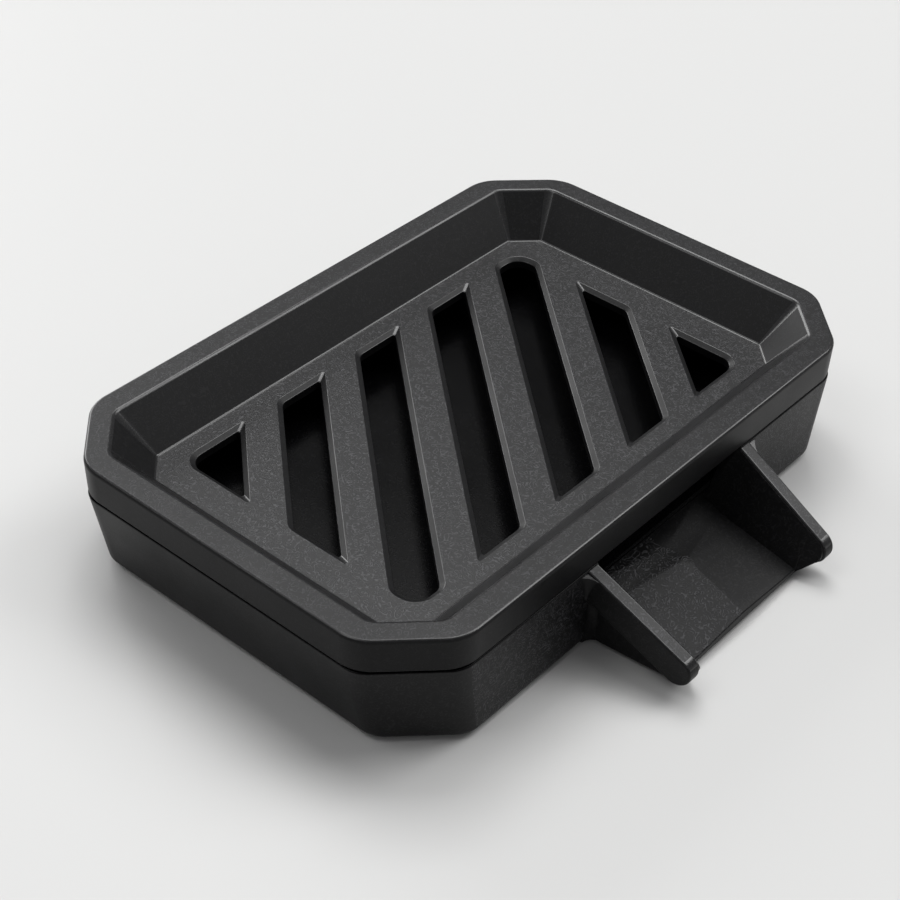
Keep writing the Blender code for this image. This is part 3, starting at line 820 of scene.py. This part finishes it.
@dataclass(frozen=True)
class SpoutBase:
    """The base: drafted walls, locating tongue, reservoir floor and the waterfall spout."""

    shell: Shell
    bottom: float
    wall: float = 3.0 * MM
    rim_wall: float = 2.4 * MM
    tongue_rise: float = 2.6 * MM
    end_draft: float = 3.6 * MM
    side_draft: float = 0.3 * MM
    foot_leg: float = 11.2 * MM
    corner_radius: float = 5.5 * MM
    bottom_round: float = 1.4 * MM
    shoulder_round: float = 0.4 * MM
    reservoir_round: float = 1.2 * MM
    reservoir_height: float = 7.7 * MM
    reservoir_fall: float = 1.9 * MM
    reservoir_plate: float = 2.0 * MM
    spout_offset: float = 2.2 * MM
    spout_reach: float = 20.5 * MM
    spout_width: float = 47.2 * MM
    rail_wall: float = 2.8 * MM
    rail_depth: float = 5.8 * MM
    rail_angle: float = math.radians(26.2)
    rail_toe: float = math.radians(4.6)
    rail_drop: float = 0.3 * MM
    rail_edge: float = 0.4 * MM
    rail_bury: float = 1.0 * MM
    rail_root: float = 3.2 * MM
    rail_root_foot: float = 0.8 * MM
    cheek_setback: float = 2.3 * MM
    cheek_turn: float = math.radians(110)
    cheek_root: float = 2.2 * MM
    root_sink: float = 0.2 * MM
    lip_setback: float = 3.9 * MM
    spout_clearance: float = 0.3 * MM
    channel_width: float = 32.8 * MM
    channel_steps: int = 12
    ridge_rise: float = 0.05 * MM
    lip_round: float = 0.3 * MM
    lip_sink: float = 0.02 * MM
    lip_steps: int = 4
    ridge_kink: float = 4.2 * MM
    ridge_lip: float = 2.9 * MM
    fold_root: float = 5.6 * MM
    fold_lip: float = 1.9 * MM
    spout_plate: float = 1.6 * MM
    nose_steps: int = 24
    edge_steps: int = 4
    root_steps: int = 12
    # The channel's textures run this far in under the tray's skirt instead of the sump's darker one: painted
    # light in the shade at the channel's root
    mouth_depth: float = 9.0 * MM
    # A face's texture goes by how far it looks up or forward, and by its place
    upward_share: float = 0.5
    front_share: float = 0.99
    flat_slack: float = 0.01
    sharp: float = math.radians(32)

    @property
    def shoulder(self) -> float:
        """The height of the ledge that the tray's skirt sits over."""
        return self.shell.top - self.shell.skirt_height - self.shell.seat_gap

    @property
    def face(self) -> float:
        """How far forward the front face is at the shoulder."""
        return -self.top().half_y

    @property
    def lip(self) -> float:
        """Where the channel's floor ends."""
        return -self.shell.width / 2 - self.spout_reach + self.lip_setback

    @property
    def floor_of_spout(self) -> float:
        """The height of the spout's underside."""
        return self.bottom + self.spout_clearance

    def top(self) -> Outline:
        """The outline at the shoulder."""
        return replace(self.shell.skirt_foot().at(self.shoulder), radius=self.corner_radius)

    def foot(self) -> Outline:
        """The outline at the lower edge.

        Returns:
            The outline, drafted in from the one at the shoulder.
        """
        top = self.top()
        return Outline(
            top.half_x - self.end_draft,
            top.half_y - self.side_draft,
            self.foot_leg,
            self.corner_radius,
            self.bottom,
        )

    def levels(self) -> list[Outline]:
        """Sets out the base's profile.

        Returns:
            The levels, from the reservoir's floor over the tongue and round to the underside.
        """
        top, foot = self.top(), self.foot()
        fall = self.reservoir_fall / (2 * (top.half_y - self.wall))
        middle = self.reservoir_height + self.reservoir_fall / 2
        tongue = self.shell.skirt_foot().inset(self.shell.skirt_wall + self.shell.seat_gap)
        tongue_top = self.shoulder + self.tongue_rise
        share = (self.shoulder - middle) / (self.shoulder - self.bottom)
        inner_foot = top.blend(foot, share).inset(self.wall).at(middle, fall)
        hollow = foot.inset(self.rim_wall)
        return [
            inner_foot.inset(self.reservoir_round + OVERRUN),
            replace(inner_foot, soften=self.reservoir_round),
            top.inset(self.wall).at(tongue_top),
            tongue.at(tongue_top),
            tongue.at(self.shoulder),
            top.at(self.shoulder, soften=self.shoulder_round),
            foot.at(self.bottom, soften=self.bottom_round),
            hollow.at(self.bottom),
            hollow.at(middle - self.reservoir_plate, fall),
        ]

    def rail_top(self, y: float) -> float:
        """The height of the rails' upper edge at a place along Y."""
        return self.shoulder - self.rail_drop - max(self.face - y, 0.0) * math.tan(self.rail_angle)

    def toe_in(self, y: float) -> float:
        """How far the spout's sides have come in towards each other at a place along Y."""
        return (self.face - y) * math.tan(self.rail_toe)

    def rail_side(self, thinner: float, last_turn: float = math.pi) -> list[Flat]:
        """A rail seen from the side: a sloping bar with a round nose.

        Args:
            thinner: How far the outline is moved in from the rail's full depth.
            last_turn: How far the nose turns from the upper edge, in radians.

        Returns:
            The outline in Y and Z.
        """
        radius = self.rail_depth / 2
        nose_y = -self.shell.width / 2 - self.spout_reach + radius
        along = Vector((-math.cos(self.rail_angle), -math.sin(self.rail_angle)))
        down = Vector((math.sin(self.rail_angle), -math.cos(self.rail_angle)))
        face = Vector((self.face, self.rail_top(self.face)))
        length = (nose_y - face.x - down.x * radius) / along.x
        nose = face + along * length + down * radius
        axis_root = face + down * radius
        root = axis_root - along * self.rail_bury
        depth = radius - thinner
        outline = [tuple(root + down * depth), tuple(root - down * depth)]
        for step in range(self.nose_steps + 1):
            turn = last_turn * step / self.nose_steps
            outline.append(tuple(nose + (along * math.sin(turn) - down * math.cos(turn)) * depth))
        return outline

    def rail(self, side: Side) -> bmesh.types.BMesh:
        """Makes one side rail, with rounded edges along its outer and inner faces.

        Args:
            side: The side of the spout.

        Returns:
            The rail.
        """
        outer = self.spout_width / 2
        inner = outer - self.rail_wall
        places = [(inner - 2 * self.rail_edge, self.rail_edge)]
        for start, toward in ((inner + self.rail_edge, -1), (outer - self.rail_edge, 1)):
            edge = []
            for step in range(self.edge_steps + 1):
                angle = math.pi / 2 * step / self.edge_steps
                along = toward * self.rail_edge * math.sin(angle)
                edge.append((start + along, self.rail_edge * (1 - math.cos(angle))))
            places += edge if toward > 0 else edge[::-1]
        loops = []
        for x, thinner in places:
            section = self.rail_side(thinner)
            loops.append([
                (self.spout_offset + side.value * (x - self.toe_in(y)), y, z) for y, z in section
            ])
        return skin(loops)

    def rail_low(self, y: float) -> float:
        """The height of the rails' lower edge at a place along Y."""
        return self.rail_top(y) - self.rail_depth / math.cos(self.rail_angle)

    def body(self) -> bmesh.types.BMesh:
        """Makes the block under the channel, which the channel's floor is cut from.

        Returns:
            The block.
        """
        half = self.spout_width / 2 - self.cheek_setback
        root = self.face + self.wall / 2
        outline = [
            (root, self.floor_of_spout),
            (root, self.reservoir_height + OVERRUN),
            (self.face, self.reservoir_height + OVERRUN),
            (self.lip, self.ridge_lip + OVERRUN),
            (self.lip, self.floor_of_spout),
        ]
        return extrude_side(
            outline,
            lambda y: self.spout_offset + self.toe_in(y) - half,
            lambda y: self.spout_offset + half - self.toe_in(y),
        )

    def cheek(self, side: Side) -> bmesh.types.BMesh:
        """Makes the wall under and inside a rail, round behind the nose and slanting to the lip.

        Args:
            side: The side of the spout.

        Returns:
            The wall.
        """
        low = self.floor_of_spout + self.root_sink
        behind_nose = self.rail_side(self.rail_edge + self.root_sink, self.cheek_turn)[1:]
        outline = [(self.face + self.wall / 2, low), *behind_nose, (self.lip, low)]
        inner = self.channel_width / 2 + self.root_sink
        outer = self.spout_width / 2 - self.cheek_setback - self.root_sink / 2
        return extrude_side(
            outline,
            lambda y: self.spout_offset + side.value * inner,
            lambda y: self.spout_offset + side.value * (outer - self.toe_in(y)),
        )

    def root_loop(
        self, side: Side, half: float, radius: float, height: Callable[[float], float],
    ) -> list[Point]:
        """One end of a concave fillet up the corner between the base's face and the spout's side.

        Args:
            side: The side of the spout.
            half: Half the spout's width there.
            radius: The fillet's radius at this end.
            height: The height of this end at a place along Y.

        Returns:
            The end's outline, sunk a little into both faces.
        """
        sign = side.value
        edge = self.spout_offset + sign * half
        centre_x = edge + sign * (radius - self.root_sink)
        centre_y = self.face - radius + self.root_sink
        buried_x = edge - sign * OVERRUN
        buried_y = self.face + OVERRUN
        outline = [(buried_x, buried_y), (centre_x, buried_y)]
        for step in range(self.root_steps + 1):
            turn = math.pi / 2 * step / self.root_steps
            outline.append((centre_x - sign * radius * math.sin(turn), centre_y + radius * math.cos(turn)))
        outline.append((buried_x, centre_y))
        return [(x - sign * self.toe_in(y), y, height(y)) for x, y in outline]

    def roots(self) -> list[bmesh.types.BMesh]:
        """Makes the fillets where the rails and the body leave the base.

        Returns:
            The fillets, of which the rails' ones taper downwards.
        """
        rail_half = self.spout_width / 2
        body_half = rail_half - self.cheek_setback
        sunk = self.rail_edge / 2
        middle = self.rail_depth / 2
        roots = []
        for side in Side:
            roots.append(skin([
                self.root_loop(side, rail_half, self.rail_root_foot, lambda y: self.rail_low(y) + sunk),
                self.root_loop(side, rail_half, self.rail_root, lambda y: self.rail_top(y) - sunk),
            ]))
            roots.append(skin([
                self.root_loop(side, body_half, self.cheek_root, lambda y: self.floor_of_spout),
                self.root_loop(side, body_half, self.cheek_root, lambda y: self.rail_low(y) + middle),
            ]))
        return roots

    def channel_floor(self, y: float) -> tuple[float, float]:
        """Finds how high the channel's floor lies at a place along Y.

        Args:
            y: The place, which may lie inside the base.

        Returns:
            The heights of the fold and of the ridge.
        """
        inside = self.face + self.wall + self.reservoir_round
        kink = self.face - self.ridge_kink
        back = max(y - self.face, 0.0) / (inside - self.face)
        fold_slope = (self.fold_root - self.fold_lip) / (self.face - self.lip)
        ridge_slope = (self.reservoir_height - self.ridge_lip) / (kink - self.lip)
        fold = self.fold_root + (self.reservoir_height + self.ridge_rise - self.fold_root) * back
        fold -= max(self.face - y, 0.0) * fold_slope
        ridge = self.reservoir_height + 2 * self.ridge_rise * back - max(kink - y, 0.0) * ridge_slope
        return fold, ridge

    def channel(self) -> bmesh.types.BMesh:
        """Makes the space that the water runs through, with a low ridge along its floor.

        Returns:
            The space, up to above the tongue.
        """
        floor_half = self.channel_width / 2
        inside = self.face + self.wall + self.reservoir_round
        kink = self.face - self.ridge_kink
        crest = self.lip + self.lip_round - self.lip_sink
        beyond = -self.shell.width / 2 - self.spout_reach - OVERRUN
        ceiling = self.shoulder + self.tongue_rise + OVERRUN
        places = [(inside, 0.0), (self.face, 0.0), (kink, 0.0)]
        for step in range(1, self.channel_steps + 1):
            places.append((kink + (crest - kink) * step / self.channel_steps, 0.0))
        for step in range(1, self.lip_steps + 1):
            angle = math.pi / 2 * step / self.lip_steps
            places.append((crest - self.lip_round * math.sin(angle), self.lip_round * (1 - math.cos(angle))))
        places.append((beyond, self.lip_round))
        loops = []
        for y, drop in places:
            fold, ridge = (height - drop for height in self.channel_floor(y))
            rail_inner = self.spout_width / 2 - self.rail_wall - self.toe_in(y)
            lean = (rail_inner - floor_half) / (self.rail_top(y) - self.rail_edge / 2 - fold)
            over = self.rail_top(y) + OVERRUN
            over_half = floor_half + lean * (over - fold)
            section = [
                (-floor_half, fold), (0.0, ridge), (floor_half, fold), (over_half, over),
                (over_half, ceiling), (-over_half, ceiling), (-over_half, over),
            ]
            loops.append([(self.spout_offset + x, y, z) for x, z in section])
        return skin(loops)

    def texture(self, middle: Vector, normal: Vector) -> Texture:
        """Puts coarse grain on the front wall and on the channel's left half, where its paler crests are
        painted light that makes that half brighter than the right, and polishes the reservoir, darkening it
        as painted shade.

        Args:
            middle: The face's middle.
            normal: The face's normal.

        Returns:
            The face's texture.
        """
        x, y = middle.x - self.shell.origin.x, middle.y - self.shell.origin.y
        looks_up = normal.z > self.upward_share
        in_mouth = abs(x - self.spout_offset) < self.channel_width / 2 and y < self.face + self.mouth_depth
        # The channel's left half takes the coarse plastic as painted light, so it is lighter than the right
        # half.
        if looks_up and in_mouth:
            return Texture.COARSE if x < self.spout_offset else Texture.DRAWN
        if normal.y < -self.front_share and abs(y - self.face) < self.wall / 2:
            return Texture.COARSE
        if looks_up and y < self.face:
            flat = abs(normal.z - math.cos(self.rail_angle)) < self.flat_slack
            return Texture.FINE if flat else Texture.EDGE
        # The sump under the tray takes the darkened polished plastic: painted shade.
        in_painted_shade_sump = looks_up and middle.z < self.shoulder
        return Texture.POLISHED if in_painted_shade_sump else Texture.DRAWN

    def crease(self, base: bpy.types.Object) -> None:
        """Keeps the channel's ridge and folds sharp, which are too shallow for the angle.

        Args:
            base: The base, carved and dressed.
        """
        mesh = base.data
        lines = (-self.channel_width / 2, 0.0, self.channel_width / 2)
        near = self.ridge_rise
        for edge in mesh.edges:
            ends = [mesh.vertices[number].co - self.shell.origin for number in edge.vertices]
            if any(end.y > self.face or end.y < self.lip + self.lip_round - near for end in ends):
                continue
            if any(all(abs(end.x - self.spout_offset - line) < near for end in ends) for line in lines):
                edge.use_edge_sharp = True

    def spout_hollow(self) -> bmesh.types.BMesh:
        """Makes the moulding's hollow under the spout.

        Returns:
            The hollow, open below.
        """
        half = self.spout_width / 2 - self.cheek_setback - self.toe_in(self.lip) - self.rim_wall
        slope = (self.fold_root - self.fold_lip) / (self.face - self.lip)
        root = self.face - OVERRUN
        root_height = self.fold_root - self.spout_plate
        low = self.floor_of_spout - OVERRUN
        end = max(root - (root_height - low) / slope, self.lip + self.rail_wall)
        outline = [(root, low), (root, root_height), (end, low)]
        return extrude_side(outline, lambda y: self.spout_offset - half, lambda y: self.spout_offset + half)

    def build(self, textures: Textures) -> bpy.types.Object:
        """Builds and dresses the base.

        Args:
            textures: The base's plastic.

        Returns:
            The base, riding on its body.
        """
        base = make_object("base_shell_with_spout", self.shell.loft(self.levels()), self.shell.origin)
        sides = [make(side) for side in Side for make in (self.rail, self.cheek)]
        carve(base, [self.body(), *sides, *self.roots()], Cut.ADD, self.shell.origin)
        carve(base, [self.channel(), self.spout_hollow()], Cut.REMOVE, self.shell.origin)
        dress(base, textures, self.texture, self.sharp)
        self.crease(base)
        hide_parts("base_with_spout")
        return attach(base, "base")


@dataclass(frozen=True)
class FootPads:
    """The four anti-slip pads under the base, which keep their solids."""

    names: tuple[str, ...] = (
        "foot_pad_front_left", "foot_pad_front_right", "foot_pad_back_left", "foot_pad_back_right",
    )

    def build(self, finish: bpy.types.Material) -> list[bpy.types.Object]:
        """Gives each pad its rubber.

        Args:
            finish: The pads' rubber.

        Returns:
            The pads.
        """
        pads = [frame["nodes"][name] for name in self.names]
        for pad in pads:
            pad.data.materials.clear()
            pad.data.materials.append(finish)
        return pads


@dataclass(frozen=True)
class SoftBox:
    """One square lamp that looks at the dish."""

    name: str
    azimuth: float
    elevation: float
    distance: float
    size: float
    power: float

    def build(self, target: Vector) -> bpy.types.Object:
        """Hangs the lamp.

        Args:
            target: The point that the lamp faces.

        Returns:
            The lamp.
        """
        lamp = bpy.data.lights.new(self.name, "AREA")
        lamp.shape = "SQUARE"
        lamp.size = self.size
        lamp.energy = self.power
        holder = bpy.data.objects.new(self.name, lamp)
        a, e = math.radians(self.azimuth), math.radians(self.elevation)
        away = Vector((math.sin(a) * math.cos(e), -math.cos(a) * math.cos(e), math.sin(e)))
        holder.location = target + away * self.distance
        holder.rotation_mode = "QUATERNION"
        holder.rotation_quaternion = (-away).to_track_quat("-Z", "Y")
        bpy.context.scene.collection.objects.link(holder)
        return holder


@dataclass(frozen=True)
class Studio:
    """A pale counter under soft lamps that all hang well away, so the counter is lit evenly."""

    target: Vector
    half_floor: float = 3.0
    sky: str = "f2f2f4"
    ambient: float = 0.28
    reach: float = 2.8
    lamp_size: float = 1.3

    def lamps(self) -> list[SoftBox]:
        """Lists the lamps.

        Returns:
            The main one high at the back right, a low one behind it and soft fills around the dish.
        """
        return [
            SoftBox("back_box", 140.0, 60.0, self.reach, self.lamp_size, 31.0),
            SoftBox("low_back_box", 165.0, 22.0, self.reach, self.lamp_size, 27.0),
            SoftBox("front_right_fill", 62.0, 46.0, self.reach, self.lamp_size, 27.0),
            SoftBox("overhead_right_box", 88.0, 72.0, self.reach, self.lamp_size, 18.0),
            SoftBox("left_fill", -125.0, 60.0, self.reach, self.lamp_size, 12.0),
        ]

    def build(self, finish: bpy.types.Material) -> bpy.types.Object:
        """Builds the counter, the lamps and the surrounding light.

        Args:
            finish: The counter's surface.

        Returns:
            The counter.
        """
        bm = bmesh.new()
        bmesh.ops.create_grid(bm, x_segments=1, y_segments=1, size=self.half_floor)
        counter = make_object("counter", bm, Vector())
        counter.data.materials.append(finish)
        for lamp in self.lamps():
            lamp.build(self.target)
        world = bpy.data.worlds.new("studio")
        bpy.context.scene.world = world
        world.use_nodes = True
        background = world.node_tree.nodes["Background"]
        background.inputs["Color"].default_value = linear_colour(self.sky)
        background.inputs["Strength"].default_value = self.ambient
        return counter


@dataclass(frozen=True)
class PhotographView:
    """The camera, where the photograph's edges put it.

    It aims at a point in the rim's plane, to the left of the rim's middle and in front of it.
    """

    rim_middle: Vector
    aim_left: float = 19.79 * MM
    aim_forward: float = 11.40 * MM
    azimuth: float = -50.11
    elevation: float = 38.58
    roll: float = 1.93
    distance: float = 320.4 * MM
    lens: float = 75.0
    sensor: float = 36.0
    nearest: float = 10.0 * MM

    def build(self) -> bpy.types.Object:
        """Sets up the camera.

        Returns:
            The scene's camera.
        """
        a, e, r = (math.radians(angle) for angle in (self.azimuth, self.elevation, self.roll))
        back = Vector((math.sin(a) * math.cos(e), -math.cos(a) * math.cos(e), math.sin(e)))
        level_right = Vector((math.cos(a), math.sin(a), 0.0))
        level_up = back.cross(level_right)
        right = level_right * math.cos(r) + level_up * math.sin(r)
        up = level_up * math.cos(r) - level_right * math.sin(r)
        data = bpy.data.cameras.new("photograph_view")
        data.lens = self.lens
        data.sensor_width = self.sensor
        data.clip_start = self.nearest
        camera = bpy.data.objects.new("photograph_view", data)
        aim = self.rim_middle - Vector((self.aim_left, self.aim_forward, 0.0))
        turn = Matrix((right, up, back)).transposed().to_4x4()
        camera.matrix_world = Matrix.Translation(aim + back * self.distance) @ turn
        bpy.context.scene.collection.objects.link(camera)
        bpy.context.scene.camera = camera
        return camera


def main() -> None:
    """Builds the pieces in order, then the studio and the camera."""
    logging.basicConfig(level=logging.INFO, format="%(name)s: %(message)s")
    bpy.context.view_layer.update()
    tray_low, tray_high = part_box("drain_tray")
    base_low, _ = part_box("base_with_spout")
    middle_y = (tray_low.y + tray_high.y) / 2
    shell = Shell(top=tray_high.z, origin=Vector((0.0, middle_y, 0.0)))
    # The fine and coarse textures, on faces that look up, get paler crests: partly painted highlight on the
    # grain.
    tray_finish = Textures(
        drawn=MouldedABS(
            "tray_drawn_abs", "0c0c0d", "1a1a1b",
            roughness=0.45, worm_spacing=0.34 * MM, worm_height=5 * MICRON, specular=0.24,
        ).material(),
        fine=MouldedABS(
            "tray_fine_abs", "0d0d0e", "2e2e30",
            roughness=0.45, worm_spacing=0.34 * MM, worm_height=16 * MICRON, specular=0.3,
        ).material(),
        coarse=MouldedABS(
            "tray_coarse_abs", "0c0c0d", "3a3a3c",
            roughness=0.43, worm_spacing=0.36 * MM, worm_height=34 * MICRON, specular=0.35,
        ).material(),
        polished=MouldedABS(
            "tray_skirt_abs", "0b0b0c", "161617",
            roughness=0.4, worm_spacing=0.34 * MM, worm_height=4 * MICRON, specular=0.14,
        ).material(),
        edge=MouldedABS(
            "tray_edge_abs", "0d0d0e", "202021",
            roughness=0.27, worm_spacing=0.36 * MM, worm_height=4 * MICRON, specular=0.55,
        ).material(),
    )
    base_finish = Textures(
        drawn=MouldedABS(
            "base_drawn_abs", "0b0b0c", "1c1c1d",
            roughness=0.45, worm_spacing=0.4 * MM, worm_height=6 * MICRON, specular=0.18,
        ).material(),
        fine=MouldedABS(
            "base_fine_abs", "0c0c0d", "3c3c3e",
            roughness=0.45, worm_spacing=0.36 * MM, worm_height=20 * MICRON, specular=0.33,
        ).material(),
        # Its paler crests also paint the channel's left half lighter than the right: painted light.
        coarse=MouldedABS(
            "base_coarse_painted_light_abs", "0b0b0c", "3c3c3e",
            roughness=0.43, worm_spacing=0.38 * MM, worm_height=40 * MICRON, specular=0.18,
        ).material(),
        # The sump seen through the slots is darker in colour than the rest: painted shade under the tray,
        # with the polish's low roughness.
        polished=MouldedABS(
            "base_sump_painted_shade_abs", "060607", "0e0e0f",
            roughness=0.24, worm_spacing=0.4 * MM, worm_height=4 * MICRON, specular=0.06,
        ).material(),
        edge=MouldedABS(
            "base_edge_abs", "0d0d0e", "202021",
            roughness=0.27, worm_spacing=0.36 * MM, worm_height=4 * MICRON, specular=0.55,
        ).material(),
    )
    pad_rubber = MouldedRubber("moulded_nitrile_pad", "161617", "2b2b2b", roughness=0.85, mottle=0.6 * MM)
    tray = DrainTray(shell).build(tray_finish)
    log.info("%s built with %d faces", tray.name, len(tray.data.polygons))
    base = SpoutBase(shell, bottom=base_low.z).build(base_finish)
    log.info("%s built with %d faces", base.name, len(base.data.polygons))
    pads = FootPads().build(pad_rubber.material())
    log.info("%d foot pads dressed", len(pads))
    target = Vector((0.0, 0.0, shell.top / 2))
    Studio(target).build(MattCounter("honed_counter", "d0d0cf", roughness=0.55).material())
    log.info("studio lit")
    PhotographView(Vector((0.0, middle_y, shell.top))).build()
    bpy.context.scene.view_settings.view_transform = "Standard"


if __name__ == "__main__":
    main()
